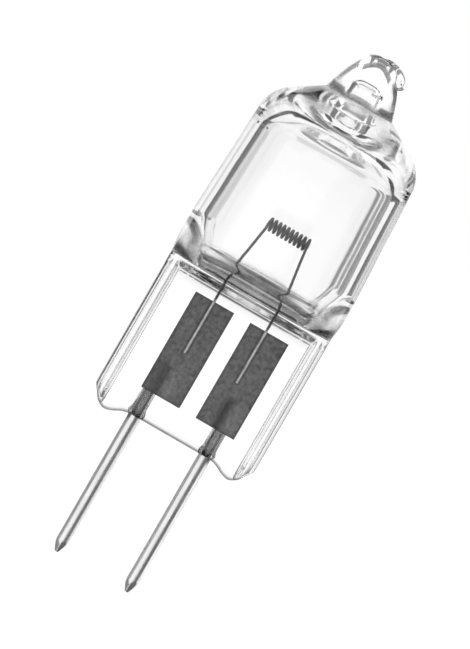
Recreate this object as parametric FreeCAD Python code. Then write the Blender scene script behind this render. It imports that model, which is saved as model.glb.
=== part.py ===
# Halogen capsule lamp with a two-pin base.
# A quartz tube is closed by a melted-off exhaust tip above and by a flat press seal below.
# The seal holds two metal foils, each welded to a base pin and to one leg of the filament.
# Millimetres. The origin lies between the pins on the base plane, where they leave the glass.
# +Z runs up the lamp to the tip and +X from pin to pin, and the foils face the front, -Y.
import FreeCAD
import Part
import math
import os

V = FreeCAD.Vector
UP = V(0, 0, 1)

# Base pins
PIN_SPACING = 4.0
PIN_DIAMETER = 0.70
PIN_REACH = 7.80
PIN_SEAT_DEPTH = 3.06
PIN_END_CHAMFER = 0.18
PIN_NOSE_LENGTH = 0.50
PIN_NOSE_DIAMETER = 0.26
PIN_NOSE_ROUNDING = 0.80
PIN_GAP = 0.04
PIN_FLARE_DIAMETER = 1.15
PIN_FLARE_DEPTH = 0.45

# Press seal
SEAL_WIDTH = 9.0
SEAL_HEIGHT = 7.36
SEAL_THICKNESS = 2.1
SEAL_RIM_THICKNESS = 2.9
SEAL_RIM_WIDTH = 0.70
SEAL_RIM_OVERLAP = 0.15
SEAL_RIM_FADE_WIDTH = 1.2
SEAL_RIM_ROUNDING = 0.45
JAW_CLEARANCE = 0.15
JAW_STEP_ANGLE = 50.0
LOBE_DROP = 0.43
LOBE_CORNER = 0.80
LOBE_RISE_SHARE = 0.6
LOBE_ROUNDING = 0.30

# Bulb
BULB_DIAMETER = 9.26
BULB_FOOT_HEIGHT = 10.30
BULB_LEAN_ANGLE = 2.7
BULB_WALL = 0.78
SHOULDER_HEIGHT = 18.85
SHOULDER_ANGLE = 31.0
SHOULDER_ROUNDING = 2.0
CEILING_GLASS = 1.70
CEILING_ROUNDING = 1.7

# Neck between bulb and seal, and the gas space's floor in it
NECK_DROP = 1.10
NECK_LIP = 0.55
NECK_WALL = 0.98
NECK_SIDE_WALL = 1.38
FLOOR_HEIGHT = 8.15
FLOOR_WIDTH = 5.56
FLOOR_DEPTH = 1.20
FLOOR_EDGE_SHARE = 0.42

# Exhaust tip and the drip left on it where the tube was melted off
TIP_SHIFT = -0.10
TIP_HEIGHT = 2.58
TIP_ROOT_DIAMETER = 3.72
TIP_CROWN_DIAMETER = 2.0
TIP_ROOT_FILLET = 0.14
BORE_DIAMETER = 1.70
BORE_NECK_DIAMETER = 1.30
BORE_POINT_LENGTH = 0.60
BORE_MOUTH_DEPTH = 0.12
BORE_ROOF = 1.60
DRIP_LENGTH = 1.80
DRIP_THICKNESS = 0.98
DRIP_TILT = 24.0
DRIP_OFFSET = 0.73
DRIP_DEPTH = 0.58

# Foils
FOIL_WIDTH = 2.18
FOIL_LENGTH = 5.44
FOIL_THICKNESS = 0.03
FOIL_BASE_HEIGHT = 1.42
FOIL_INSET = 0.45
FOIL_SHIFT = 0.19
FOIL_SETBACK = 0.10

# Filament
WIRE_DIAMETER = 0.14
WIRE_FLATS = 6
WELD_FLAT_DEPTH = 0.02
WELD_LENGTH = 2.93
COIL_DIAMETER = 0.74
COIL_PITCH = 0.235
COIL_TURNS = 9.5
COIL_STEPS = 10
COIL_HEIGHT = 11.53
COIL_SHIFT = 0.10
LEG_SPREAD = 2.96
LEG_SHIFT = 0.06
LEG_BEND_HEIGHT = 8.80
LEG_DROP = 0.25

# Sections along a blend from round to flat, and how far round its sides each end's side arcs run
BLEND_SECTIONS = 4
ROUND_ARC = 45.0
FLAT_ARC = 86.0
# Slack for joining a blend's curves to the true circle that they run into
JOIN_SLACK = 1e-4
SAME_POINT = 1e-6

# How a sweep turns the corners of its path
MITRED = 1

LEFT = -1
RIGHT = 1
FRONT = -1
BACK = 1
PIN_RADIUS = PIN_DIAMETER / 2
WIRE_RADIUS = WIRE_DIAMETER / 2
BULB_RADIUS = BULB_DIAMETER / 2
CEILING_HEIGHT = SHOULDER_HEIGHT - CEILING_GLASS
NECK_TOP = BULB_FOOT_HEIGHT - NECK_DROP
NECK_BOTTOM = SEAL_HEIGHT + NECK_LIP
TIP_TOP = SHOULDER_HEIGHT + TIP_HEIGHT
FOIL_FRONT = -FOIL_SETBACK - FOIL_THICKNESS
FOIL_TOP = FOIL_BASE_HEIGHT + FOIL_LENGTH
LEG_DEPTH = FOIL_FRONT - WIRE_RADIUS + WELD_FLAT_DEPTH


def rounded_path(points, roundings):
    """Edges from the first point to the last, with a tangent arc at each corner that has a rounding."""
    edges = []
    last = points[0]
    for i in range(1, len(points) - 1):
        back = (points[i - 1] - points[i]).normalize()
        ahead = (points[i + 1] - points[i]).normalize()
        half_angle = back.getAngle(ahead) / 2
        reach = roundings[i] / math.tan(half_angle)
        start = points[i] + back * reach
        end = points[i] + ahead * reach
        edges += line(last, start)
        if roundings[i] > 0:
            bulge = roundings[i] / math.sin(half_angle) - roundings[i]
            middle = points[i] + (back + ahead).normalize() * bulge
            edges.append(Part.Arc(start, middle, end).toShape())
        last = end
    return edges + line(last, points[-1])


def line(start, end):
    """The edge between two points, or none where they coincide."""
    if start.distanceToPoint(end) < SAME_POINT:
        return []
    return [Part.LineSegment(start, end).toShape()]


def outline(corners):
    """Face in the XZ plane inside (x, z, rounding) corners, closed from the last to the first."""
    points = [V(x, 0, z) for x, z, rounding in corners]
    edges = rounded_path(points, [rounding for x, z, rounding in corners])
    return Part.Face(Part.Wire(edges + line(points[-1], points[0])))


def turned(corners):
    """Solid turned about the Z axis from an outline that starts and ends on it."""
    return outline(corners).revolve(V(0, 0, 0), UP, 360)


def oval(half_width, half_depth, side_angle, height):
    """Closed wire of four tangent arcs: one over each side, to the angle given, and two between."""
    c = math.cos(math.radians(side_angle))
    s = math.sin(math.radians(side_angle))
    slack = (1 - s) / c
    side_radius = (half_depth - half_width * slack) / (s - (1 - c) * slack)
    x = half_width - side_radius + side_radius * c
    y = side_radius * s
    ends = [V(x, -y, height), V(x, y, height), V(-x, y, height), V(-x, -y, height)]
    sides = [V(half_width, 0, height), V(0, half_depth, height)]
    sides += [V(-half_width, 0, height), V(0, -half_depth, height)]
    return Part.Wire([Part.Arc(ends[i], sides[i], ends[(i + 1) % 4]).toShape() for i in range(4)])


def blend(top, bottom):
    """Loft between two ovals that starts and ends upright, as softened glass draws in."""
    ovals = []
    for i in range(BLEND_SECTIONS):
        share = i / (BLEND_SECTIONS - 1)
        eased = share * share * (3 - 2 * share)
        sizes = [start + (end - start) * eased for start, end in zip(top[:3], bottom[:3])]
        ovals.append(oval(*sizes, top[3] + (bottom[3] - top[3]) * share))
    return Part.makeLoft(ovals, True)


def joined(first, second, fillet):
    """Two pieces of glass melted together, with a fillet along the line where they meet."""
    seam = first.section(second)
    body = first.fuse(second)
    on_seam = [edge for edge in body.Edges if seam.distToShape(middle(edge))[0] < JOIN_SLACK]
    return body.makeFillet(fillet, on_seam)


def middle(edge):
    return Part.Vertex(edge.valueAt((edge.FirstParameter + edge.LastParameter) / 2))


def dome():
    """The bulb's outside: a leaning wall, a rounded shoulder and a cone that runs up into the tip."""
    lean = math.tan(math.radians(BULB_LEAN_ANGLE))
    slope = math.tan(math.radians(SHOULDER_ANGLE))
    apex = SHOULDER_HEIGHT + slope * TIP_ROOT_DIAMETER / 2
    corner = (BULB_RADIUS - lean * (apex - BULB_FOOT_HEIGHT)) / (1 - lean * slope)
    return turned([
        (0, NECK_TOP, 0),
        (BULB_RADIUS, NECK_TOP, 0),
        (BULB_RADIUS, BULB_FOOT_HEIGHT, 0),
        (corner, apex - slope * corner, SHOULDER_ROUNDING),
        (0, apex, 0),
    ])


def exhaust_tip():
    """The stub of the exhaust tube, drawn in to a round end."""
    crown = TIP_CROWN_DIAMETER / 2
    flank = TIP_ROOT_DIAMETER / 2 - crown
    taper = math.atan(flank / TIP_HEIGHT)
    ball = crown * math.tan((math.pi / 2 + taper) / 2)
    tip = turned([
        (0, SHOULDER_HEIGHT - BULB_WALL, 0),
        (crown + flank * (1 + BULB_WALL / TIP_HEIGHT), SHOULDER_HEIGHT - BULB_WALL, 0),
        (crown, TIP_TOP, ball),
        (0, TIP_TOP, 0),
    ])
    tip.translate(V(TIP_SHIFT, 0, 0))
    return tip


def drip():
    """The drop of quartz that ran sideways off the tip."""
    radius = DRIP_THICKNESS / 2
    drop = turned([
        (0, 0, 0),
        (radius, 0, radius),
        (radius, DRIP_LENGTH, radius),
        (0, DRIP_LENGTH, 0),
    ])
    drop.rotate(V(0, 0, DRIP_LENGTH / 2), V(0, 1, 0), DRIP_TILT + 90)
    drop.translate(V(TIP_SHIFT + DRIP_OFFSET, 0, TIP_TOP - DRIP_DEPTH - DRIP_LENGTH / 2))
    return drop


def press_seal():
    """The flat seal below the bulb, with a lobe hanging at each lower corner."""
    half_width = SEAL_WIDTH / 2
    rise_top = PIN_SPACING / 2 + PIN_FLARE_DIAMETER / 2
    rise_width = LOBE_RISE_SHARE * (half_width - LOBE_CORNER - rise_top)
    lobe = [
        (half_width - SEAL_RIM_FADE_WIDTH, BULB_FOOT_HEIGHT, 0),
        (half_width, NECK_BOTTOM + SEAL_RIM_OVERLAP, 0),
        (half_width, LOBE_CORNER - LOBE_DROP, 0),
        (half_width - LOBE_CORNER, -LOBE_DROP, LOBE_ROUNDING),
        (rise_top + rise_width, -LOBE_DROP, LOBE_ROUNDING),
        (rise_top, 0, LOBE_ROUNDING),
    ]
    mirrored = [(-x, z, rounding) for x, z, rounding in reversed(lobe)]
    slab = outline(lobe + mirrored)
    slab.translate(V(0, -SEAL_RIM_THICKNESS / 2, 0))
    slab = slab.extrude(V(0, SEAL_RIM_THICKNESS, 0))
    corners = [edge for edge in slab.Edges if edge.BoundBox.ZLength > SEAL_HEIGHT / 2]
    return slab.makeFillet(SEAL_RIM_ROUNDING, corners)


def jaw(facing):
    """What one press jaw leaves: a flat recess with sloping walls at the top and at both sides."""
    x = SEAL_WIDTH / 2 - SEAL_RIM_WIDTH
    y = SEAL_THICKNESS / 2
    travel = SEAL_RIM_THICKNESS / 2 - y + JAW_CLEARANCE
    rise = travel * math.tan(math.radians(JAW_STEP_ANGLE))
    near = (-x, y, -SEAL_HEIGHT, -SEAL_HEIGHT, -x - travel)
    far = (x, y + travel, SEAL_HEIGHT, SEAL_HEIGHT + rise, x + travel)
    wedge = Part.makeWedge(*near, *far)
    wedge.rotate(V(0, 0, 0), UP, 0 if facing == BACK else 180)
    return wedge


def cavity():
    """The gas space: the bulb's inside, the floor above the seal and the bore of the tip."""
    lean = math.tan(math.radians(BULB_LEAN_ANGLE))
    foot = BULB_RADIUS - BULB_WALL
    ceiling = foot - lean * (CEILING_HEIGHT - BULB_FOOT_HEIGHT)
    room = turned([
        (0, BULB_FOOT_HEIGHT, 0),
        (foot, BULB_FOOT_HEIGHT, 0),
        (ceiling, CEILING_HEIGHT, CEILING_ROUNDING),
        (0, CEILING_HEIGHT, 0),
    ])
    bore_top = TIP_TOP - BORE_ROOF
    bore = turned([
        (0, CEILING_HEIGHT - BORE_MOUTH_DEPTH, 0),
        (BORE_DIAMETER / 2, CEILING_HEIGHT - BORE_MOUTH_DEPTH, 0),
        (BORE_NECK_DIAMETER / 2, bore_top - BORE_POINT_LENGTH, 0),
        (0, bore_top, 0),
    ])
    bore.translate(V(TIP_SHIFT, 0, 0))
    rim = oval(foot, foot, ROUND_ARC, BULB_FOOT_HEIGHT)
    edge_height = FLOOR_HEIGHT + (BULB_FOOT_HEIGHT - FLOOR_HEIGHT) * FLOOR_EDGE_SHARE
    edge = oval(BULB_RADIUS - NECK_SIDE_WALL, BULB_RADIUS - NECK_WALL, ROUND_ARC, edge_height)
    floor = oval(FLOOR_WIDTH / 2, FLOOR_DEPTH / 2, FLAT_ARC, FLOOR_HEIGHT)
    funnel = Part.makeLoft([rim, edge, floor], True, True)
    return room.fuse([bore, funnel], JOIN_SLACK)


def pin(side):
    """A base pin: bullet nose, the length that a holder grips, the length in the seal, chamfered end."""
    body = turned([
        (0, -PIN_REACH, 0),
        (PIN_NOSE_DIAMETER / 2, -PIN_REACH, 0),
        (PIN_RADIUS, -PIN_REACH + PIN_NOSE_LENGTH, PIN_NOSE_ROUNDING),
        (PIN_RADIUS, -LOBE_DROP, 0),
        (PIN_RADIUS, PIN_SEAT_DEPTH - PIN_END_CHAMFER, 0),
        (PIN_RADIUS - PIN_END_CHAMFER, PIN_SEAT_DEPTH, 0),
        (0, PIN_SEAT_DEPTH, 0),
    ])
    body.translate(V(side * PIN_SPACING / 2, 0, 0))
    return body


def pin_passage(side):
    """The hairline gap that quartz leaves round a pin below its foil, flared at the mouth."""
    gap_radius = PIN_RADIUS + PIN_GAP
    mouth = PIN_FLARE_DIAMETER / 2
    body = turned([
        (0, -LOBE_DROP, 0),
        (mouth, -LOBE_DROP, 0),
        (mouth, 0, 0),
        (gap_radius, PIN_FLARE_DEPTH, 0),
        (gap_radius, FOIL_BASE_HEIGHT, 0),
        (0, FOIL_BASE_HEIGHT, 0),
    ])
    body.translate(V(side * PIN_SPACING / 2, 0, 0))
    return body


def foil(side):
    """A sealing foil: a flat strip that swells into a saddle over the end of its pin."""
    pin_x = side * PIN_SPACING / 2
    corner = V(pin_x - side * FOIL_INSET + FOIL_SHIFT - FOIL_WIDTH / 2, FOIL_FRONT, FOIL_BASE_HEIGHT)
    strip = Part.makeBox(FOIL_WIDTH, FOIL_THICKNESS, FOIL_LENGTH, corner)
    radius = PIN_RADIUS + FOIL_THICKNESS
    top = PIN_SEAT_DEPTH + FOIL_THICKNESS
    cover = turned([
        (0, FOIL_BASE_HEIGHT, 0),
        (radius, FOIL_BASE_HEIGHT, 0),
        (radius, top - PIN_END_CHAMFER, 0),
        (radius - PIN_END_CHAMFER, top, 0),
        (0, top, 0),
    ])
    cover.translate(V(pin_x, 0, 0))
    front = Part.makeBox(2 * radius, radius, top, V(pin_x - radius, -radius - FOIL_SETBACK, 0))
    return strip.fuse(cover.common(front)).cut(pin(side))


def leg(side, coil_end):
    """Points from the end of one weld up to the bend and on to that end of the coil."""
    x = side * LEG_SPREAD / 2 + LEG_SHIFT
    bottom = V(x, LEG_DEPTH, FOIL_TOP - WELD_LENGTH)
    bend = V(x, LEG_DEPTH, LEG_BEND_HEIGHT)
    return [bottom, bend, coil_end - UP * LEG_DROP]


def coil():
    """Points along the coil, wound left-handed from its front left to its back right."""
    radius = (COIL_DIAMETER - WIRE_DIAMETER) / 2
    steps = round(COIL_TURNS * COIL_STEPS)
    points = []
    for i in range(steps + 1):
        turn = i / COIL_STEPS
        x = COIL_SHIFT + COIL_PITCH * (turn - COIL_TURNS / 2)
        angle = 2 * math.pi * turn
        points.append(V(x, -radius * math.cos(angle), COIL_HEIGHT + radius * math.sin(angle)))
    return points


def filament():
    """One tungsten wire, welded flat on each foil: a leg, the coil and the other leg."""
    turns = coil()
    points = leg(LEFT, turns[0]) + turns + leg(RIGHT, turns[-1])[::-1]
    profile = wire_profile(points[0])
    wire = Part.makePolygon(points).makePipeShell([profile], True, False, MITRED)
    return wire.cut([foil(LEFT), foil(RIGHT)])


def wire_profile(centre):
    """The wire's section, with narrow flats in place of a circle so that the coil meshes lightly."""
    points = []
    for i in range(WIRE_FLATS + 1):
        angle = 2 * math.pi * (i + 0.5) / WIRE_FLATS
        points.append(centre + V(math.cos(angle), math.sin(angle), 0) * WIRE_RADIUS)
    return Part.makePolygon(points)


def quartz_envelope():
    """All the glass, with room for the gas and a seat for each piece of metal in the seal."""
    crown = joined(dome(), exhaust_tip(), TIP_ROOT_FILLET).fuse(drip())
    neck = blend(
        (BULB_RADIUS, BULB_RADIUS, ROUND_ARC, NECK_TOP),
        (SEAL_WIDTH / 2, SEAL_RIM_THICKNESS / 2, FLAT_ARC, NECK_BOTTOM),
    )
    body = crown.fuse([neck, press_seal()], JOIN_SLACK)
    hollows = [cavity(), jaw(FRONT), jaw(BACK), filament()]
    for side in (LEFT, RIGHT):
        hollows += [pin_passage(side), pin(side), foil(side)]
    return body.cut(hollows)


os.makedirs("parts", exist_ok=True)
NODES = {
    "base_pin_left": pin(LEFT),
    "base_pin_right": pin(RIGHT),
    "foil_left": foil(LEFT),
    "foil_right": foil(RIGHT),
    "filament": filament(),
    "quartz_envelope": quartz_envelope(),
}
for name, shape in NODES.items():
    shape.exportStep("parts/" + name + ".step")
    print(name, "solids", len(shape.Solids), "volume", round(shape.Volume, 3), "valid", shape.isValid())
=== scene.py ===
# %% [markdown]
# # A halogen capsule bulb
# The lamp is small: about thirty millimetres from pin ends to tip. It has a clear quartz bulb, a coiled
# filament, a flat seal with two dark foils pressed into it, and two bright base pins.
# The measured model comes in first as a fixed frame. Every piece made here goes where that frame says.

# %% Load the frame
import math

import bpy
from mathutils import Matrix, Vector


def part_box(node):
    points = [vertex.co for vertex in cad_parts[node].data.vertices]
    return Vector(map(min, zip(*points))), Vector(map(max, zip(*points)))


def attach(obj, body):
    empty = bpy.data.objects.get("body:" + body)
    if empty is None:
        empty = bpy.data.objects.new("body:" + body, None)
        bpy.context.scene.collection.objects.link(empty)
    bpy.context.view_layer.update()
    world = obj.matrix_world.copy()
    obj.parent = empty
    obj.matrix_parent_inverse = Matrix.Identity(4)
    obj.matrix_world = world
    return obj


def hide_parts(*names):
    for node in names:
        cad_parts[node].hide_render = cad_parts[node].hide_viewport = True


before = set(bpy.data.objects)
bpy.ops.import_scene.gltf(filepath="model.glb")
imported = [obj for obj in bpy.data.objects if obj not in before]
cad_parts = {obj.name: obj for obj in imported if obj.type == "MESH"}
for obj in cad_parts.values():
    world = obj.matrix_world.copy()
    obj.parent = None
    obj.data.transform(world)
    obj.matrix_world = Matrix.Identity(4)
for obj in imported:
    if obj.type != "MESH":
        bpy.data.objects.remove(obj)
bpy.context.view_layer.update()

MM = 0.001

# %% [markdown]
# ## Sizes that the frame gives
# The boxes of the frame's nodes give the width of the glass, the pins and the foils, so nothing here can
# drift away from the measured model. The sizes that follow are in millimetres.

# %% Read sizes
def box_mm(node):
    """Lowest and highest corner of a node of the frame, in millimetres."""
    low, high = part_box(node)
    return Vector(low) / MM, Vector(high) / MM


GLASS_LOW, GLASS_HIGH = box_mm("quartz_envelope")
PIN_LOW, PIN_HIGH = box_mm("base_pin_right")
FOIL_BOXES = {side: box_mm("foil_" + side) for side in ("left", "right")}
BULB_R = GLASS_HIGH.x
LOBE_Z = GLASS_LOW.z
PIN_R = (PIN_HIGH.x - PIN_LOW.x) / 2
PIN_X = (PIN_HIGH.x + PIN_LOW.x) / 2
PIN_END_Z = PIN_LOW.z
PIN_TOP_Z = PIN_HIGH.z
FOIL_LOW_Z = FOIL_BOXES["right"][0].z
FOIL_HIGH_Z = FOIL_BOXES["right"][1].z
SIDES = {"left": -1, "right": 1}
print("bulb radius", round(BULB_R, 3), "pin radius", round(PIN_R, 3), "pin x", round(PIN_X, 3))

# %% [markdown]
# ## The camera
# The lamp leans in the picture. The frame stands upright, so the camera is rolled instead: it looks
# straight at the front with its own up direction turned away from the lamp's.

# %% Camera
IMAGE_WIDTH_PX = 470
IMAGE_HEIGHT_PX = 649
MM_PER_PX = 0.04938
LEAN = math.radians(30.0)
LOOK_AT = Vector((0.035, 0.0, 6.37))
CAMERA_DISTANCE = 260.0
CAMERA_RISE = math.radians(3.0)
SENSOR_MM = 36.0

camera_data = bpy.data.cameras.new("photo_camera")
camera = bpy.data.objects.new("photo_camera", camera_data)
bpy.context.collection.objects.link(camera)
bpy.context.scene.camera = camera
away = Vector((0, math.cos(CAMERA_RISE), -math.sin(CAMERA_RISE)))
tilted_up = Vector((-math.sin(LEAN), 0, math.cos(LEAN)))
right = away.cross(tilted_up).normalized()
up = right.cross(away)
camera.matrix_world = Matrix.Translation((LOOK_AT - away * CAMERA_DISTANCE) * MM) @ Matrix(
    (right, up, -away)).transposed().to_4x4()
camera_data.sensor_width = SENSOR_MM
camera_data.lens = SENSOR_MM * CAMERA_DISTANCE / (IMAGE_HEIGHT_PX * MM_PER_PX)
camera_data.clip_start = CAMERA_DISTANCE * MM / 100
camera_data.clip_end = CAMERA_DISTANCE * MM * 100
print("camera lens", round(camera_data.lens, 1), "mm")

# %% [markdown]
# ## The stage
# Clear glass shows only what it bends. A bright backdrop gives it its clean inside, and dark cards off to
# the sides give it the dark lines along its walls. The cards are hidden from the camera itself, so only
# glass and metal see them. A pale floor lies below the lamp, far enough down to stay out of the picture.

# %% Floor, world and lamps
FLOOR_Z = -30.0
FLOOR_SIZE = 4000.0
FLOOR_GLOW = 0.30
LAMP_PLACE = Vector((260.0, -220.0, 240.0))
LAMP_SIZE = 160.0
LAMP_POWER = 0.6


def deselect():
    """Leaves edit mode and clears the selection, as every new piece needs."""
    if bpy.context.object and bpy.context.object.mode != "OBJECT":
        bpy.ops.object.mode_set(mode="OBJECT")
    bpy.ops.object.select_all(action="DESELECT")


def seen_ray(tree):
    """One for the rays that show the stage: straight to the camera, by a mirror or through glass."""
    light_path = tree.nodes.new("ShaderNodeLightPath")
    bent = tree.nodes.new("ShaderNodeMath")
    bent.operation = "MAXIMUM"
    tree.links.new(light_path.outputs["Is Glossy Ray"], bent.inputs[0])
    tree.links.new(light_path.outputs["Is Transmission Ray"], bent.inputs[1])
    seen = tree.nodes.new("ShaderNodeMath")
    seen.operation = "MAXIMUM"
    tree.links.new(light_path.outputs["Is Camera Ray"], seen.inputs[0])
    tree.links.new(bent.outputs[0], seen.inputs[1])
    return seen.outputs[0]


world = bpy.data.worlds.new("white_studio")
bpy.context.scene.world = world
world.use_nodes = True
tree = world.node_tree
backdrop = tree.nodes["Background"]
backdrop.inputs["Color"].default_value = (1, 1, 1, 1)
level = tree.nodes.new("ShaderNodeMapRange")
level.inputs["To Min"].default_value = 0.85
level.inputs["To Max"].default_value = 1.0
tree.links.new(seen_ray(tree), level.inputs["Value"])
tree.links.new(level.outputs[0], backdrop.inputs["Strength"])

deselect()
bpy.ops.mesh.primitive_plane_add(size=FLOOR_SIZE * MM, location=(0, 0, FLOOR_Z * MM))
floor = bpy.context.object
floor.name = "studio_floor"
floor_material = bpy.data.materials.new("pale_floor")
floor_material.use_nodes = True
floor.data.materials.append(floor_material)
tree = floor_material.node_tree
paint = tree.nodes["Principled BSDF"]
paint.inputs["Base Color"].default_value = (0.86, 0.86, 0.86, 1)
paint.inputs["Roughness"].default_value = 0.9
glow = tree.nodes.new("ShaderNodeEmission")
lift = tree.nodes.new("ShaderNodeMath")
lift.operation = "MULTIPLY"
lift.inputs[1].default_value = FLOOR_GLOW
tree.links.new(seen_ray(tree), lift.inputs[0])
tree.links.new(lift.outputs[0], glow.inputs["Strength"])
both = tree.nodes.new("ShaderNodeAddShader")
tree.links.new(paint.outputs[0], both.inputs[0])
tree.links.new(glow.outputs[0], both.inputs[1])
tree.links.new(both.outputs[0], tree.nodes["Material Output"].inputs["Surface"])

lamp_data = bpy.data.lights.new("soft_box", "AREA")
lamp_data.size = LAMP_SIZE * MM
lamp_data.energy = LAMP_POWER
lamp = bpy.data.objects.new("soft_box", lamp_data)
bpy.context.collection.objects.link(lamp)
lamp.location = LAMP_PLACE * MM
lamp.rotation_euler = (LOOK_AT - LAMP_PLACE).to_track_quat("-Z", "Y").to_euler()

bpy.context.scene.view_settings.view_transform = "Standard"
bpy.context.scene.cycles.max_bounces = 64
bpy.context.scene.cycles.transmission_bounces = 64
bpy.context.scene.cycles.glossy_bounces = 8
print("stage set, floor at", FLOOR_Z, "mm")

# %% Dark cards
# Each card's place round the line of sight: how far off it, from where to where on the dial, with the right
# at 0 and the top at 90 degrees, and how grey it is
GLASS_CARDS = [
    (40.5, 49.0, 120.0, 190.0, 0.10),
    (40.0, 57.0, 60.0, 120.0, 0.03),
    (12.3, 15.0, -25.0, 50.0, 0.22),
    (16.8, 20.5, -25.0, 50.0, 0.25),
    (23.0, 38.0, -20.0, 35.0, 0.03),
    (38.0, 46.0, 10.0, 35.0, 0.03),
    (46.0, 56.0, 8.0, 55.0, 0.03),
    (25.0, 33.0, 155.0, 168.0, 0.03),
    (18.0, 27.0, 168.0, 200.0, 0.80),
    (18.0, 24.0, 75.0, 105.0, 0.75),
]
METAL_CARDS = [
    (105.0, 178.0, -30.0, 30.0, 0.17),
    (50.0, 118.0, 160.0, 200.0, 0.35),
]
TIP_CARDS = [
    (54.0, 92.0, -40.0, 35.0, 0.25),
    (50.0, 92.0, 145.0, 205.0, 0.15),
    (108.0, 142.0, 0.0, 50.0, 0.25),
    (108.0, 142.0, 130.0, 180.0, 0.15),
]
GLASS_CARD_FAR = 300.0
METAL_CARD_FAR = 120.0
TIP_CARD_FAR = 50.0
LAMP_FOOT = Vector((0.0, 0.0, 0.0))
TIP_ROOT = Vector((0.0, 0.0, 18.5))
# Cards that lie over the floor: from where to where along x and y, and how grey
LOW_GLASS_CARD = (-36.0, -110.0, 36.0, 75.0, 0.22)
LOW_METAL_CARDS = [(-4.0, -110.0, 100.0, 12.0, 0.14), (-110.0, -25.0, -8.0, 60.0, 0.30)]
CARD_STEP = 3.0


def card_material(grey):
    """Card of one even grey, whatever light falls on it."""
    material = bpy.data.materials.new("dark_card")
    material.use_nodes = True
    tree = material.node_tree
    tree.nodes.remove(tree.nodes["Principled BSDF"])
    dark = tree.nodes.new("ShaderNodeEmission")
    dark.inputs["Color"].default_value = (grey, grey, grey, 1)
    tree.links.new(dark.outputs[0], tree.nodes["Material Output"].inputs["Surface"])
    return material


def dark_card(name, near, far, start, end, grey, distance, centre=LAMP_FOOT):
    """A card curved round a centre on the lamp, seen by glass and metal only."""
    deselect()
    deep = math.ceil((far - near) / CARD_STEP)
    long = math.ceil((end - start) / CARD_STEP)
    bpy.ops.mesh.primitive_grid_add(x_subdivisions=deep, y_subdivisions=long, size=1)
    card = bpy.context.object
    card.name = name
    for vertex in card.data.vertices:
        off = math.radians(near + (far - near) * (vertex.co.x + 0.5))
        dial = math.radians(start + (end - start) * (vertex.co.y + 0.5))
        place = Vector((math.sin(off) * math.cos(dial), math.cos(off), math.sin(off) * math.sin(dial)))
        vertex.co = (centre + place * distance) * MM
    return unseen(card, grey)


def unseen(card, grey):
    """Paints a card, hides it from the camera and from plain surfaces, and keeps it out of the shadows."""
    card.data.materials.append(card_material(grey))
    card.visible_camera = False
    card.visible_diffuse = False
    card.visible_shadow = False
    return card


def low_card(name, x0, y0, x1, y1, grey):
    """A square card lying just over the floor."""
    deselect()
    bpy.ops.mesh.primitive_plane_add(size=MM, location=((x0 + x1) / 2 * MM, (y0 + y1) / 2 * MM, (FLOOR_Z + 0.5) * MM))
    card = bpy.context.object
    card.name = name
    card.scale = (x1 - x0, y1 - y0, 1)
    return unseen(card, grey)


for number, card in enumerate(GLASS_CARDS):
    dark_card("glass_card_" + str(number + 1), *card, GLASS_CARD_FAR)
for number, card in enumerate(METAL_CARDS):
    dark_card("metal_card_" + str(number + 1), *card, METAL_CARD_FAR).visible_transmission = False
for number, card in enumerate(TIP_CARDS):
    dark_card("tip_card_" + str(number + 1), *card, TIP_CARD_FAR, TIP_ROOT).visible_glossy = False
low_card("low_glass_card", *LOW_GLASS_CARD).visible_glossy = False
for number, card in enumerate(LOW_METAL_CARDS):
    low_card("low_metal_card_" + str(number + 1), *card).visible_transmission = False
print("dark cards:", len(GLASS_CARDS) + len(METAL_CARDS) + len(TIP_CARDS) + len(LOW_METAL_CARDS) + 1)

# %% [markdown]
# ## The quartz envelope
# On the real lamp the bulb, the tip and the seal are one piece of quartz tube, softened, pulled and pressed.
# Spinning a profile would give the bulb, but not the neck, where the round tube goes over into a flat seal.
# So the skin is a stack of rings: round ones above, flat ones below and a smooth change between. One helper
# joins any stack of rings into a mesh, and it also makes the hollow inside.

# %% Ring helpers
RING_POINTS = 240
ARC_STEP = math.radians(5.0)
RUN_STEP = 0.19


def soft_min(a, b, k):
    """The smaller of two values, with the corner between them rounded over a width k."""
    h = max(k - abs(a - b), 0.0) / k
    return min(a, b) - h * h * k / 4


def soft_max(a, b, k):
    return -soft_min(-a, -b, k)


def smoothstep(t):
    return t * t * (3 - 2 * t)


def rounded_profile(corners):
    """Points (r, z) along a line with corners (r, z, rounding), with arcs and runs divided evenly."""
    stops = []
    last = Vector(corners[0][:2])
    for before, corner, after in zip(corners, corners[1:], corners[2:]):
        here = Vector(corner[:2])
        back = (Vector(before[:2]) - here).normalized()
        ahead = (Vector(after[:2]) - here).normalized()
        half = back.angle(ahead) / 2
        reach = corner[2] / math.tan(half)
        start, end = here + back * reach, here + ahead * reach
        stops += divided(last, start)
        if corner[2] > 0:
            centre = here + (back + ahead).normalized() * (corner[2] / math.sin(half))
            first, turn = start - centre, (start - centre).angle_signed(end - centre)
            steps = max(2, math.ceil(abs(turn) / ARC_STEP))
            for i in range(steps):
                stops.append(centre + Matrix.Rotation(-turn * i / steps, 2) @ first)
        last = end
    return stops + divided(last, Vector(corners[-1][:2])) + [Vector(corners[-1][:2])]


def divided(start, end):
    """Points from start up to but not at end, no further apart than one run step."""
    steps = max(1, math.ceil((end - start).length / RUN_STEP))
    return [start.lerp(end, i / steps) for i in range(steps)]


def round_ring(radius, z, x=0.0):
    """A ring of points about the upright axis, from the front and on to the right."""
    angles = [2 * math.pi * i / RING_POINTS for i in range(RING_POINTS)]
    return [Vector((x + radius * math.sin(a), -radius * math.cos(a), z)) for a in angles]


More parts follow.
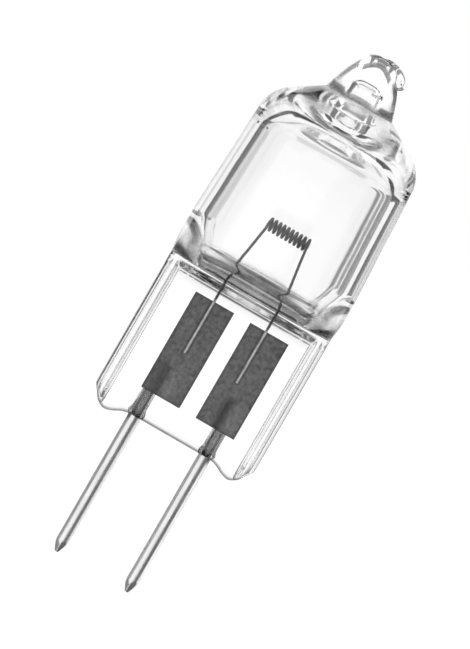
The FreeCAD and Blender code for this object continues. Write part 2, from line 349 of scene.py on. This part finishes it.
def skin_from(name, rings):
    """A closed mesh through a stack of rings, with the points that coincide at its ends merged."""
    points = [point * MM for ring in rings for point in ring]
    faces = []
    for row in range(len(rings) - 1):
        for i in range(RING_POINTS):
            j = (i + 1) % RING_POINTS
            top, low = row * RING_POINTS, (row + 1) * RING_POINTS
            faces.append((top + i, low + i, low + j, top + j))
    mesh = bpy.data.meshes.new(name)
    mesh.from_pydata(points, [], faces)
    piece = bpy.data.objects.new(name, mesh)
    bpy.context.collection.objects.link(piece)
    deselect()
    bpy.context.view_layer.objects.active = piece
    piece.select_set(True)
    bpy.ops.object.mode_set(mode="EDIT")
    bpy.ops.mesh.select_all(action="SELECT")
    bpy.ops.mesh.remove_doubles(threshold=0.0005 * MM)
    bpy.ops.mesh.normals_make_consistent(inside=False)
    bpy.ops.object.mode_set(mode="OBJECT")
    return piece


# %% Bulb and tip rings
FOOT_Z = 10.30
LEAN_OUT = math.tan(math.radians(2.7))
SHOULDER_Z = 18.85
SHOULDER_SLOPE = math.tan(math.radians(31.0))
SHOULDER_ROUNDING = 2.0
TIP_X = -0.10
TIP_ROOT_R = 1.86
TIP_ROOT_ROUNDING = 0.16
TIP_OUTLINE = [(0.0, 21.42), (0.40, 21.40), (0.72, 21.25), (0.95, 21.00), (1.14, 20.66), (1.38, 20.20),
               (1.60, 19.66), (1.76, 19.16)]


def smooth_line(points, steps):
    """Points on a smooth curve through the points given."""
    ends = [points[0] * 2 - points[1]] + points + [points[-1] * 2 - points[-2]]
    curve = []
    for a, b, c, d in zip(ends, ends[1:], ends[2:], ends[3:]):
        for i in range(steps):
            t = i / steps
            curve.append(0.5 * (2 * b + (c - a) * t + (2 * a - 5 * b + 4 * c - d) * t * t
                                + (3 * b - a - 3 * c + d) * t ** 3))
    return curve + [points[-1]]


def bulb_rings():
    """From the top of the tip, down over the shoulder, to the bulb's foot."""
    apex = SHOULDER_Z + SHOULDER_SLOPE * TIP_ROOT_R
    corner_r = (BULB_R - LEAN_OUT * (apex - FOOT_Z)) / (1 - LEAN_OUT * SHOULDER_SLOPE)
    tip = smooth_line([Vector(p) for p in TIP_OUTLINE], 8)
    below = rounded_profile([
        (*tip[-1], 0),
        (TIP_ROOT_R, SHOULDER_Z, TIP_ROOT_ROUNDING),
        (corner_r, apex - SHOULDER_SLOPE * corner_r, SHOULDER_ROUNDING),
        (BULB_R, FOOT_Z, 0),
    ])
    rings = [round_ring(r, z, TIP_X) for r, z in tip[:-1]]
    for r, z in below:
        settle = smoothstep(min(1, max(0, (r - TIP_ROOT_R) / (corner_r - TIP_ROOT_R))))
        rings.append(round_ring(r, z, TIP_X * (1 - settle)))
    return rings


# %% Neck and seal rings
SEAL_HALF_WIDTH = 4.5
SEAL_HALF_RIM = 1.45
SEAL_ROUNDING = 0.45
SEAL_TOP_Z = 7.36
JAW_HALF_WIDTH = 3.80
JAW_DEPTH = 1.05
JAW_SIDE_SLOPE = 2.5
JAW_TOP_SLOPE = 1 / math.tan(math.radians(50.0))
JAW_END_Z = 7.93
JAW_SOFTNESS = 0.10
FLAT_UP_TO = math.radians(61.0)
ROUND_UP_TO = math.radians(75.0)
LOBE_START_X = PIN_X + 0.575
LOBE_SLOPE = 0.637
LOBE_CORNER_X = 4.13
LOBE_SOFTNESS = 0.25
EDGE_ROUNDING = 0.30
# How far the neck has gone over from round to flat, at each height
NECK_BELLY = [(0.0, 10.30), (0.0, 9.70), (0.01, 9.32), (0.045, 9.06), (0.13, 8.88), (0.27, 8.72), (0.45, 8.55),
              (0.66, 8.37), (0.85, 8.20), (0.96, 8.07), (1.0, 7.95), (1.0, 7.36)]


def seal_section(angle):
    """One point of the seal's flat section at an angle round from the front, and the way its edge faces."""
    across = math.copysign(1, math.sin(angle))
    along = math.copysign(1, -math.cos(angle))
    q = math.asin(min(1, abs(math.sin(angle))))
    flat_x = SEAL_HALF_WIDTH - SEAL_ROUNDING
    flat_y = SEAL_HALF_RIM - SEAL_ROUNDING
    if q <= FLAT_UP_TO:
        x, y, turn = flat_x * math.sin(q) / math.sin(FLAT_UP_TO), SEAL_HALF_RIM, 0.0
    elif q <= ROUND_UP_TO:
        turn = (q - FLAT_UP_TO) / (ROUND_UP_TO - FLAT_UP_TO) * math.pi / 2
        x = flat_x + SEAL_ROUNDING * math.sin(turn)
        y = flat_y + SEAL_ROUNDING * math.cos(turn)
    else:
        turn = math.pi / 2
        x, y = SEAL_HALF_WIDTH, flat_y * (math.pi / 2 - q) / (math.pi / 2 - ROUND_UP_TO)
    return Vector((across * x, along * y, 0)), Vector((across * math.sin(turn), along * math.cos(turn), 0))


def pressed(point):
    """The point pushed in to where the press jaws left the glass."""
    beside = (abs(point.x) - JAW_HALF_WIDTH) * JAW_SIDE_SLOPE
    rise = soft_max(beside, (point.z - SEAL_TOP_Z) * JAW_TOP_SLOPE, JAW_SOFTNESS)
    jaw = JAW_DEPTH + soft_max(0.0, rise, JAW_SOFTNESS)
    depth = soft_min(abs(point.y), jaw, JAW_SOFTNESS)
    return Vector((point.x, math.copysign(depth, point.y), point.z))


def seal_foot(x):
    """Height of the seal's lower edge: level between the pins, with a lobe hanging at each corner."""
    x = abs(x)
    inner = soft_max(soft_min(0.0, -LOBE_SLOPE * (x - LOBE_START_X), LOBE_SOFTNESS), LOBE_Z, LOBE_SOFTNESS)
    return soft_max(inner, x - LOBE_CORNER_X, LOBE_SOFTNESS)


def neck_rings():
    """Rings that go over from round to flat, with a belly that turns in late."""
    rings = []
    belly = smooth_line([Vector(p) for p in NECK_BELLY], 7)
    for share, z in belly[1:]:
        ring = []
        for i, point in enumerate(round_ring(BULB_R, z)):
            flat, facing = seal_section(2 * math.pi * i / RING_POINTS)
            drawn = point.lerp(flat + Vector((0, 0, z)), min(1, max(0, share)))
            ring.append(pressed(drawn) if z < JAW_END_Z else drawn)
        rings.append(ring)
    return rings


def seal_rings():
    """Rings down the flat seal, round its lower edge and across its foot to the middle."""
    section = [seal_section(2 * math.pi * i / RING_POINTS) for i in range(RING_POINTS)]
    rings = []
    runs = math.ceil(SEAL_TOP_Z / RUN_STEP / 2)
    for step in range(1, runs):
        ring = []
        for flat, facing in section:
            foot = seal_foot(flat.x) + EDGE_ROUNDING
            z = SEAL_TOP_Z + (foot - SEAL_TOP_Z) * step / (runs - 1)
            ring.append(pressed(flat + Vector((0, 0, z))))
        rings.append(ring)
    turns = 6
    for step in range(1, turns + 1):
        angle = math.pi / 2 * step / turns
        ring = []
        for (flat, facing), side in zip(section, rings[runs - 2]):
            inward = facing * EDGE_ROUNDING * (1 - math.cos(angle))
            ring.append(side - inward - Vector((0, 0, EDGE_ROUNDING * math.sin(angle))))
        rings.append(ring)
    last = rings[-1]
    for share in (0.75, 0.5, 0.25, 0.0):
        rings.append([Vector((p.x, p.y * share, p.z)) for p in last])
    return rings


outside = bulb_rings() + neck_rings() + seal_rings()
quartz = skin_from("quartz_capsule", outside)
print("outer skin rings", len(outside), "faces", len(quartz.data.polygons))

# %% [markdown]
# ## The drip on the tip
# Where the exhaust tube was melted off, a drop of quartz ran to one side and froze. A ball stretched along
# the way it ran and joined to the skin with a Boolean modifier gives the same crease as two melted blobs.

# %% Drip
DRIP_CENTRE = Vector((0.60, 0.0, 20.91))
DRIP_SIZE = Vector((0.92, 0.52, 0.49))
DRIP_TILT = math.radians(24.0)


def apply_boolean(piece, tool, operation):
    """Joins or cuts one mesh with another and removes the tool."""
    deselect()
    bpy.context.view_layer.objects.active = piece
    piece.select_set(True)
    change = piece.modifiers.new(operation.lower(), "BOOLEAN")
    change.object = tool
    change.operation = operation
    change.solver = "EXACT"
    bpy.ops.object.modifier_apply(modifier=change.name)
    bpy.data.objects.remove(tool)


deselect()
bpy.ops.mesh.primitive_uv_sphere_add(segments=64, ring_count=40, radius=MM)
drip = bpy.context.object
bpy.ops.object.mode_set(mode="EDIT")
bpy.ops.mesh.select_all(action="SELECT")
bpy.ops.transform.resize(value=DRIP_SIZE)
bpy.ops.object.mode_set(mode="OBJECT")
drip.rotation_euler = (0, DRIP_TILT, 0)
drip.location = DRIP_CENTRE * MM
bpy.ops.object.transform_apply(location=True, rotation=True, scale=True)
apply_boolean(quartz, drip, "UNION")
print("drip joined, faces", len(quartz.data.polygons))

# %% [markdown]
# ## The passages round the pins
# Quartz doesn't stick to the thick pins, only to the thin foils. So a hairline gap stays round each pin, and
# it opens like a trumpet where the pin leaves the glass. A profile spun round the pin's axis cuts it out.

# %% Pin passages
PASSAGE_R = PIN_R + 0.04
MOUTH_R = LOBE_START_X - PIN_X
MOUTH_DEPTH = 0.45
SPIN_STEPS = 48


def spun(name, corners, x):
    """A closed solid from a profile of (r, z, rounding) corners, spun round an upright axis at x."""
    deselect()
    points = rounded_profile(corners)
    mesh = bpy.data.meshes.new(name)
    mesh.from_pydata([((x + r) * MM, 0, z * MM) for r, z in points], [(i, i + 1) for i in range(len(points) - 1)], [])
    piece = bpy.data.objects.new(name, mesh)
    bpy.context.collection.objects.link(piece)
    bpy.context.view_layer.objects.active = piece
    piece.select_set(True)
    bpy.ops.object.mode_set(mode="EDIT")
    bpy.ops.mesh.select_all(action="SELECT")
    bpy.ops.mesh.spin(steps=SPIN_STEPS, angle=2 * math.pi, center=(x * MM, 0, 0), axis=(0, 0, 1))
    bpy.ops.mesh.select_all(action="SELECT")
    bpy.ops.mesh.remove_doubles(threshold=0.0005 * MM)
    bpy.ops.mesh.normals_make_consistent(inside=False)
    bpy.ops.object.mode_set(mode="OBJECT")
    return piece


for side, sign in SIDES.items():
    passage = spun("passage_" + side, [
        (0, LOBE_Z - 0.5, 0),
        (MOUTH_R, LOBE_Z - 0.5, 0),
        (MOUTH_R, 0, 0),
        (PASSAGE_R, MOUTH_DEPTH, 0.4),
        (PASSAGE_R, FOIL_LOW_Z, 0),
        (0, FOIL_LOW_Z, 0),
    ], sign * PIN_X)
    apply_boolean(quartz, passage, "DIFFERENCE")
print("passages cut, faces", len(quartz.data.polygons))

# %% [markdown]
# ## The hollow
# The gas space has the bulb's shape one wall thickness further in, a funnel down to a narrow slot above
# the seal, and the bore of the exhaust tube above. Its faces look into the gas, away from the quartz, so
# the hollow's mesh is turned inside out and joined to the skin: the two together bound the glass.

# %% Hollow
WALL = 0.78
CEILING_Z = 17.15
CEILING_ROUNDING = 1.7
BORE_R = 0.85
BORE_NECK_R = 0.62
BORE_END_ROUNDING = 0.50
BORE_TOP_Z = 19.83
FLOOR_Z_INSIDE = 8.15
FLOOR_HALF_WIDTH = 2.78
SIDE_SOFTNESS = 0.60
MOUTH_ROUNDING = 0.15
# Painted shade in the glass's colour: a grey floor in the hollow, and grey along the seal's lower edge, its sides and
# the pins' passages
PAINTED_SHADE_TOP_Z = 9.16
PAINTED_SHADE_TILT = 0.055
PAINTED_SHADE_DROP = 0.12
PAINTED_SHADE_FADE = 0.12
EDGE_PAINTED_SHADE = 0.95
EDGE_PAINTED_SHADE_HEIGHT = 0.10
EDGE_PAINTED_SHADE_FADE = 0.12
SIDE_PAINTED_SHADE = 0.55
SIDE_PAINTED_SHADE_X = 4.35
PASSAGE_PAINTED_SHADE = 0.85
ROUGH_LOW_Z = 7.70
ROUGH_HIGH_Z = 9.60
ROUGH_FROM_X = 2.90
ROUGH_FADE = 0.50
NECK_ROUGH = 0.45
RIM_ROUGH = 0.20
ROOT_ROUGH = 0.60
ROOT_ROUGH_R = 1.20
ROOT_ROUGH_HEIGHT = 0.45
# Half the hollow's depth from front to back, at each height
HOLLOW_BELLY = [(BULB_R - WALL, FOOT_Z), (3.84, 9.62), (3.78, 9.26), (3.55, 9.00), (3.05, 8.82), (2.40, 8.66),
                (1.70, 8.48), (1.00, 8.30), (0.50, FLOOR_Z_INSIDE)]


def hollow_rings():
    """From the closed end of the bore down to the slot over the seal."""
    foot = BULB_R - WALL
    ceiling = foot - LEAN_OUT * (CEILING_Z - FOOT_Z)
    profile = rounded_profile([
        (0, BORE_TOP_Z, 0),
        (BORE_NECK_R, BORE_TOP_Z, BORE_END_ROUNDING),
        (BORE_R, CEILING_Z, MOUTH_ROUNDING),
        (ceiling, CEILING_Z, CEILING_ROUNDING),
        (foot, FOOT_Z, 0),
    ])
    rings = []
    for r, z in profile:
        settle = smoothstep(min(1, max(0, (r - BORE_R) / (ceiling - BORE_R))))
        rings.append(round_ring(r, z, TIP_X * (1 - settle)))
    belly = smooth_line([Vector(p) for p in HOLLOW_BELLY], 7)
    for depth, z in belly[1:]:
        share = (FOOT_Z - z) / (FOOT_Z - FLOOR_Z_INSIDE)
        width = foot + SIDE_SOFTNESS / 4 + (FLOOR_HALF_WIDTH - foot) * share
        ring = []
        for point in round_ring(foot, z):
            x = soft_min(abs(point.x), width, SIDE_SOFTNESS)
            ring.append(Vector((math.copysign(x, point.x), point.y / foot * depth, z)))
        rings.append(ring)
    last = rings[-1]
    for share in (0.66, 0.33, 0.0):
        rings.append([Vector((p.x, p.y * share, p.z)) for p in last])
    return rings


def ramp(value, start, length):
    """A soft step from 0 to 1 that begins at a start and takes a length."""
    return smoothstep(min(1, max(0, (value - start) / length)))


def painted_floor_shade(x, y, z):
    """How much painted shade greys the hollow's floor: its edge is a nearly level line."""
    edge = PAINTED_SHADE_TOP_Z - PAINTED_SHADE_TILT * y - PAINTED_SHADE_DROP * (x / FLOOR_HALF_WIDTH) ** 2
    return ramp(edge - z, 0, PAINTED_SHADE_FADE)


def painted_skin_shade(x, y, z):
    """How much painted shade greys the outer skin: at the seal's cut edges and in the passages of the pins."""
    if z > SEAL_TOP_Z:
        return 0.0
    low = EDGE_PAINTED_SHADE * (1 - ramp(z - seal_foot(x), EDGE_PAINTED_SHADE_HEIGHT, EDGE_PAINTED_SHADE_FADE))
    side = SIDE_PAINTED_SHADE * ramp(abs(x), SIDE_PAINTED_SHADE_X, 0.08)
    from_pin = math.hypot(abs(x) - PIN_X, y)
    in_passage = z < FOIL_LOW_Z + 0.01 and from_pin < (PASSAGE_R if z > MOUTH_DEPTH else MOUTH_R) + 0.02
    return max(low, side, PASSAGE_PAINTED_SHADE * in_passage)


def roughness(x, y, z):
    """How rough the skin is: where the glass was pulled, at the neck's corners, the seal's rim and the tip's root."""
    height = ramp(z, ROUGH_LOW_Z, ROUGH_FADE) * ramp(-z, -ROUGH_HIGH_Z, ROUGH_FADE)
    neck = NECK_ROUGH * height * ramp(abs(x), ROUGH_FROM_X, ROUGH_FADE)
    rim = RIM_ROUGH * ramp(abs(x), JAW_HALF_WIDTH - 0.10, 0.15) * ramp(-z, -SEAL_TOP_Z - ROUGH_FADE, ROUGH_FADE)
    root = ROOT_ROUGH * max(0.0, 1 - abs(z - SHOULDER_Z) / ROOT_ROUGH_HEIGHT) * (math.hypot(x, y) > ROOT_ROUGH_R)
    return max(neck, rim, root)


def store(piece, name, rule):
    """Keeps a value for every point of a mesh, worked out from where the point is."""
    values = piece.data.attributes.new(name, "FLOAT", "POINT").data
    for vertex in piece.data.vertices:
        values[vertex.index].value = rule(*(vertex.co / MM))


hollow = skin_from("hollow", hollow_rings())
# The glass's colour takes painted shade from these stored values; its roughness is its own.
store(hollow, "painted_glass_shade", painted_floor_shade)
store(hollow, "rough_skin", roughness)
store(quartz, "painted_glass_shade", painted_skin_shade)
store(quartz, "rough_skin", roughness)
deselect()
bpy.context.view_layer.objects.active = hollow
hollow.select_set(True)
bpy.ops.object.mode_set(mode="EDIT")
bpy.ops.mesh.select_all(action="SELECT")
bpy.ops.mesh.flip_normals()
bpy.ops.object.mode_set(mode="OBJECT")
bpy.ops.object.shade_smooth_by_angle(angle=math.radians(40))
deselect()
bpy.context.view_layer.objects.active = quartz
quartz.select_set(True)
bpy.ops.object.shade_smooth_by_angle(angle=math.radians(40))
hollow.select_set(True)
bpy.ops.object.join()
print("quartz triangles", sum(len(p.vertices) - 2 for p in quartz.data.polygons))

# %% [markdown]
# ## The base pins
# Each pin is a straight piece of wire with a bullet nose, and its upper end sits in the seal behind a foil.
# A circle extruded ring by ring and scaled at each step gives the nose and the chamfer in one go.

# %% Pins
NOSE_LENGTH = 0.70
NOSE_STEPS = 14
NOSE_TIP_R = 0.10
PIN_CHAMFER = 0.18
PIN_POINTS = 64


def pin(side):
    """A base pin, from its blunt point up to the chamfer in the seal."""
    deselect()
    x = SIDES[side] * PIN_X
    bpy.ops.mesh.primitive_circle_add(
        vertices=PIN_POINTS, radius=NOSE_TIP_R * MM, fill_type="NGON", location=(x * MM, 0, PIN_END_Z * MM))
    piece = bpy.context.object
    piece.name = "pin_wire_" + side
    bpy.ops.object.transform_apply(location=True)
    bpy.ops.object.mode_set(mode="EDIT")
    bpy.ops.mesh.select_all(action="SELECT")
    rings = []
    for step in range(1, NOSE_STEPS + 1):
        t = step / NOSE_STEPS
        rings.append((NOSE_TIP_R + (PIN_R - NOSE_TIP_R) * math.sin(t * math.pi / 2), PIN_END_Z + NOSE_LENGTH * t))
    rings.append((PIN_R, PIN_TOP_Z - PIN_CHAMFER))
    rings.append((PIN_R - PIN_CHAMFER, PIN_TOP_Z))
    radius, z = NOSE_TIP_R, PIN_END_Z
    for next_radius, next_z in rings:
        bpy.ops.mesh.extrude_region_move(TRANSFORM_OT_translate={"value": (0, 0, (next_z - z) * MM)})
        share = next_radius / radius
        bpy.ops.transform.resize(value=(share, share, 1), center_override=(x * MM, 0, next_z * MM))
        radius, z = next_radius, next_z
    bpy.ops.mesh.select_all(action="SELECT")
    bpy.ops.mesh.normals_make_consistent(inside=False)
    bpy.ops.object.mode_set(mode="OBJECT")
    bpy.ops.object.shade_smooth_by_angle(angle=math.radians(40))
    return piece


pins = {side: pin(side) for side in SIDES}
print("pins made:", [len(p.data.polygons) for p in pins.values()])

# %% [markdown]
# ## The sealing foils
# Each foil is a strip of molybdenum a few hundredths of a millimetre thick, welded over the end of its pin.
# Quartz flows tight round it, so the strip shows the pin's end as a soft swelling. A grid is raised there
# point by point, as a sculptor would push it, and Solidify gives it its thickness.

# %% Foils
FOIL_THICKNESS = 0.03
FOIL_BACK_Y = -0.10
SADDLE_R = PIN_R + FOIL_THICKNESS
SADDLE_TOP_Z = PIN_TOP_Z + 0.45
SADDLE_FADE = 0.65
SADDLE_SOFTNESS = 0.25
FOIL_GRID = (46, 112)
FOIL_FEATHER = 0.18
FOIL_PAINTED_SHADING_X = {"left": -1.86, "right": 1.72}
FOIL_PAINTED_SHADING_TOP_Z = 3.30
FOIL_PAINTED_SHADING_FADE = 0.50
LEG_X = {"left": -1.42, "right": 1.54}
LEG_END_Z = 3.93
LEG_SHADE_OFFSET = 0.11


def foil_painted_shading(side, x, z, margin):
    """How light the foil is painted: darker at its edge, painted shade along both sides of the leg and over the pin's
    end, and painted light just right of that.
    """
    painted_shading_reach = smoothstep(min(1, max(0, (FOIL_PAINTED_SHADING_TOP_Z - z) / FOIL_PAINTED_SHADING_FADE)))
    beside_leg = smoothstep(min(1, max(0, (z - LEG_END_Z + 0.1) / 0.1)))
    # Painted shade over the pin's end, with painted light just to the right of it
    dark = math.exp(-((x - FOIL_PAINTED_SHADING_X[side]) / 0.27) ** 2) * painted_shading_reach
    light = math.exp(-((x - FOIL_PAINTED_SHADING_X[side] - 0.60) / 0.30) ** 2) * painted_shading_reach
    # Painted shade in thin lines along both sides of the leg
    weld = math.exp(-((abs(x - LEG_X[side]) - LEG_SHADE_OFFSET) / 0.06) ** 2) * beside_leg
    edge = smoothstep(min(1, max(0, 1 - margin / FOIL_FEATHER)))
    return (1 - 0.70 * dark) * (1 + 0.45 * light) * (1 - 0.55 * weld) * (1 - 0.60 * edge)


def foil(side):
    """A sealing foil with its swelling over the pin."""
    low, high = FOIL_BOXES[side]
    x = SIDES[side] * PIN_X
    deselect()
    bpy.ops.mesh.primitive_grid_add(x_subdivisions=FOIL_GRID[0], y_subdivisions=FOIL_GRID[1], size=1)
    piece = bpy.context.object
    piece.name = "sealing_foil_" + side
    # Each point keeps the foil's painted shade and painted light, and its darker edge
    painted_shading_and_edge = piece.data.attributes.new("painted_shading_and_edge", "FLOAT", "POINT")
    for vertex in piece.data.vertices:
        px = low.x + (high.x - low.x) * (vertex.co.x + 0.5)
        pz = low.z + (high.z - low.z) * (vertex.co.y + 0.5)
        painted_shading_and_edge.data[vertex.index].value = foil_painted_shading(side, px, pz, min(px - low.x, high.x - px, pz - low.z, high.z - pz))
        swell = math.sqrt(max(0.0, SADDLE_R ** 2 - (px - x) ** 2))
        fade = smoothstep(min(1, max(0, (SADDLE_TOP_Z - pz) / SADDLE_FADE)))
        y = -soft_max(-FOIL_BACK_Y + FOIL_THICKNESS, swell * fade, SADDLE_SOFTNESS)
        vertex.co = Vector((px, y, pz)) * MM
    bpy.ops.object.mode_set(mode="EDIT")
    bpy.ops.mesh.select_all(action="SELECT")
    bpy.ops.mesh.normals_make_consistent(inside=False)
    bpy.ops.object.mode_set(mode="OBJECT")
    if piece.data.polygons[0].normal.y > 0:
        piece.data.flip_normals()
    wall = piece.modifiers.new("thickness", "SOLIDIFY")
    wall.thickness = FOIL_THICKNESS * MM
    wall.offset = -1
    bpy.ops.object.modifier_apply(modifier=wall.name)
    bpy.ops.object.shade_smooth_by_angle(angle=math.radians(40))
    return piece


foils = {side: foil(side) for side in SIDES}
print("foils made:", [len(p.data.polygons) for p in foils.values()])

# %% [markdown]
# ## The filament
# One tungsten wire makes both legs and the coil between them. Its centre line is a list of points: straight
# legs and a helix worked out turn by turn. A curve with a round bevel follows it and becomes a mesh.

# %% Filament
WIRE_R = 0.07
COIL_R = 0.30
COIL_Z = 11.53
COIL_X = 0.10
COIL_PITCH = 0.235
COIL_TURNS = 9.5
COIL_STEPS = 24
LEG_Y = -0.18
LEG_BEND_Z = 8.80
LEG_DROP = 0.25


def coil_points():
    """Points along the coil, wound left-handed from its front left to its back right."""
    points = []
    for i in range(round(COIL_TURNS * COIL_STEPS) + 1):
        turn = i / COIL_STEPS
        angle = 2 * math.pi * turn
        x = COIL_X + COIL_PITCH * (turn - COIL_TURNS / 2)
        points.append(Vector((x, -COIL_R * math.cos(angle), COIL_Z + COIL_R * math.sin(angle))))
    return points


def leg_points(side, coil_end):
    """Points up one leg, from the end of its weld to just under the coil."""
    x = LEG_X[side]
    top = coil_end - Vector((0, 0, LEG_DROP))
    bend = Vector((x, LEG_Y, LEG_BEND_Z))
    return [Vector((x, LEG_Y, LEG_END_Z)), bend.lerp(Vector((x, LEG_Y, LEG_END_Z)), 0.05), bend.lerp(top, 0.06), top]


turns = coil_points()
route = leg_points("left", turns[0]) + turns + leg_points("right", turns[-1])[::-1]
deselect()
curve = bpy.data.curves.new("filament_wire", "CURVE")
curve.dimensions = "3D"
curve.bevel_depth = WIRE_R * MM
curve.bevel_resolution = 3
curve.use_fill_caps = True
spline = curve.splines.new("POLY")
spline.points.add(len(route) - 1)
for point, place in zip(spline.points, route):
    point.co = (*(place * MM), 1)
filament = bpy.data.objects.new("filament_wire", curve)
bpy.context.collection.objects.link(filament)
bpy.context.view_layer.objects.active = filament
filament.select_set(True)
bpy.ops.object.convert(target="MESH")
filament = bpy.context.object
bpy.ops.object.shade_smooth_by_angle(angle=math.radians(60))
print("filament faces", len(filament.data.polygons))

# %% Materials
# Painted highlight on the filament's legs: full below the first height, gone above the second
PAINTED_HIGHLIGHT_FULL_Z = FOIL_HIGH_Z - 0.1
PAINTED_HIGHLIGHT_END_Z = FOIL_HIGH_Z + 0.2


def principled(name):
    """A new node material and its main shader."""
    material = bpy.data.materials.new(name)
    material.use_nodes = True
    return material, material.node_tree, material.node_tree.nodes["Principled BSDF"]


def grain(tree, per_mm, detail=3.0):
    """Noise with a number of ups and downs per millimetre along x, y and z."""
    place = tree.nodes.new("ShaderNodeTexCoord")
    stretch = tree.nodes.new("ShaderNodeMapping")
    stretch.inputs["Scale"].default_value = [count / MM for count in per_mm]
    noise = tree.nodes.new("ShaderNodeTexNoise")
    noise.inputs["Scale"].default_value = 1.0
    noise.inputs["Detail"].default_value = detail
    tree.links.new(place.outputs["Object"], stretch.inputs["Vector"])
    tree.links.new(stretch.outputs[0], noise.inputs["Vector"])
    return noise.outputs["Fac"]


def spread(tree, value, low, high):
    """A value from 0.3 to 0.7, as noise mostly is, spread over a range."""
    change = tree.nodes.new("ShaderNodeMapRange")
    change.inputs["From Min"].default_value = 0.3
    change.inputs["From Max"].default_value = 0.7
    change.inputs["To Min"].default_value = low
    change.inputs["To Max"].default_value = high
    tree.links.new(value, change.inputs["Value"])
    return change.outputs[0]


def product(tree, a, b):
    times = tree.nodes.new("ShaderNodeMath")
    times.operation = "MULTIPLY"
    tree.links.new(a, times.inputs[0])
    tree.links.new(b, times.inputs[1])
    return times.outputs[0]


def blended(tree, share, first, second):
    """A grey that goes from one value or socket to another."""
    mix = tree.nodes.new("ShaderNodeMix")
    tree.links.new(share, mix.inputs["Factor"])
    for socket, value in (("A", first), ("B", second)):
        if isinstance(value, float):
            mix.inputs[socket].default_value = value
        else:
            tree.links.new(value, mix.inputs[socket])
    return mix.outputs["Result"]


def attribute(tree, name):
    stored = tree.nodes.new("ShaderNodeAttribute")
    stored.attribute_name = name
    return stored.outputs["Fac"]


def roughen(tree, shader, height, depth_mm, strength):
    """Small ups and downs of the surface, from a height between 0 and 1."""
    bump = tree.nodes.new("ShaderNodeBump")
    bump.inputs["Distance"].default_value = depth_mm * MM
    bump.inputs["Strength"].default_value = strength
    tree.links.new(height, bump.inputs["Height"])
    tree.links.new(bump.outputs[0], shader.inputs["Normal"])


def quartz_material():
    """Clear fused quartz, faintly wavy, greyed by painted shade on the hollow's floor, at the seal's edges and in the
    pins' passages, and rough where it was pulled.
    """
    material, tree, shader = principled("fused_quartz")
    # Painted shade: a mottled dark grey replaces the clear colour where the stored shade value is high
    painted_shade_grey = spread(tree, grain(tree, (1.8, 1.8, 4.0)), 0.01, 0.09)
    tint = blended(tree, attribute(tree, "painted_glass_shade"), 0.977, painted_shade_grey)
    tree.links.new(tint, shader.inputs["Base Color"])
    shader.inputs["Transmission Weight"].default_value = 1.0
    shader.inputs["IOR"].default_value = 1.458
    waves = grain(tree, (1.5, 1.5, 1.5))
    smooth = spread(tree, waves, 0.03, 0.07)
    pulled = spread(tree, waves, 0.40, 0.70)
    rough = blended(tree, attribute(tree, "rough_skin"), smooth, pulled)
    tree.links.new(rough, shader.inputs["Roughness"])
    roughen(tree, shader, grain(tree, (0.5, 0.5, 0.35), 1.0), 0.02, 0.5)
    return material


def pin_material():
    """Bright drawn wire, with fine lines along its length."""
    material, tree, shader = principled("drawn_pin_wire")
    lines = grain(tree, (14.0, 14.0, 0.5))
    tree.links.new(spread(tree, lines, 0.72, 0.86), shader.inputs["Base Color"])
    tree.links.new(spread(tree, grain(tree, (3.0, 3.0, 1.0)), 0.20, 0.32), shader.inputs["Roughness"])
    shader.inputs["Metallic"].default_value = 1.0
    roughen(tree, shader, lines, 0.004, 0.4)
    return material


def foil_material():
    """Etched molybdenum foil, dull and grainy, darkened and lightened by its stored painted shade, painted light and
    darker edge.
    """
    material, tree, shader = principled("molybdenum_foil")
    speckle = spread(tree, grain(tree, (5.0, 5.0, 5.0), 8.0), 0.08, 0.23)
    tree.links.new(product(tree, speckle, attribute(tree, "painted_shading_and_edge")), shader.inputs["Base Color"])
    shader.inputs["Metallic"].default_value = 0.4
    tree.links.new(spread(tree, grain(tree, (4.0, 4.0, 1.5)), 0.42, 0.60), shader.inputs["Roughness"])
    roughen(tree, shader, grain(tree, (10.0, 10.0, 3.0), 5.0), 0.006, 0.5)
    return material


def tungsten_material():
    """Grey tungsten, with a painted highlight: much lighter where the legs lie welded on the foils."""
    material, tree, shader = principled("tungsten_wire")
    place = tree.nodes.new("ShaderNodeTexCoord")
    parts = tree.nodes.new("ShaderNodeSeparateXYZ")
    tree.links.new(place.outputs["Object"], parts.inputs[0])
    height = tree.nodes.new("ShaderNodeMapRange")
    height.inputs["From Min"].default_value = PAINTED_HIGHLIGHT_FULL_Z * MM
    height.inputs["From Max"].default_value = PAINTED_HIGHLIGHT_END_Z * MM
    tree.links.new(parts.outputs["Z"], height.inputs["Value"])
    wear = grain(tree, (5.0, 5.0, 2.5))
    # Painted highlight: the wire gets a much lighter colour low down, where it lies on the foils, than above them
    grey = blended(tree, height.outputs[0], spread(tree, wear, 0.45, 1.0), spread(tree, wear, 0.07, 0.14))
    tree.links.new(grey, shader.inputs["Base Color"])
    shader.inputs["Metallic"].default_value = 0.7
    tree.links.new(spread(tree, wear, 0.30, 0.50), shader.inputs["Roughness"])
    roughen(tree, shader, grain(tree, (20.0, 20.0, 6.0)), 0.003, 0.4)
    return material


def dress(piece, material, node):
    """Gives a finished piece its material, hangs it under the root body and hides the node that it stands for."""
    piece.data.materials.clear()
    piece.data.materials.append(material)
    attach(piece, "root")
    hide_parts(node)


dress(quartz, quartz_material(), "quartz_envelope")
wire_finish = pin_material()
foil_finish = foil_material()
for side in SIDES:
    dress(pins[side], wire_finish, "base_pin_" + side)
    dress(foils[side], foil_finish, "foil_" + side)
dress(filament, tungsten_material(), "filament")
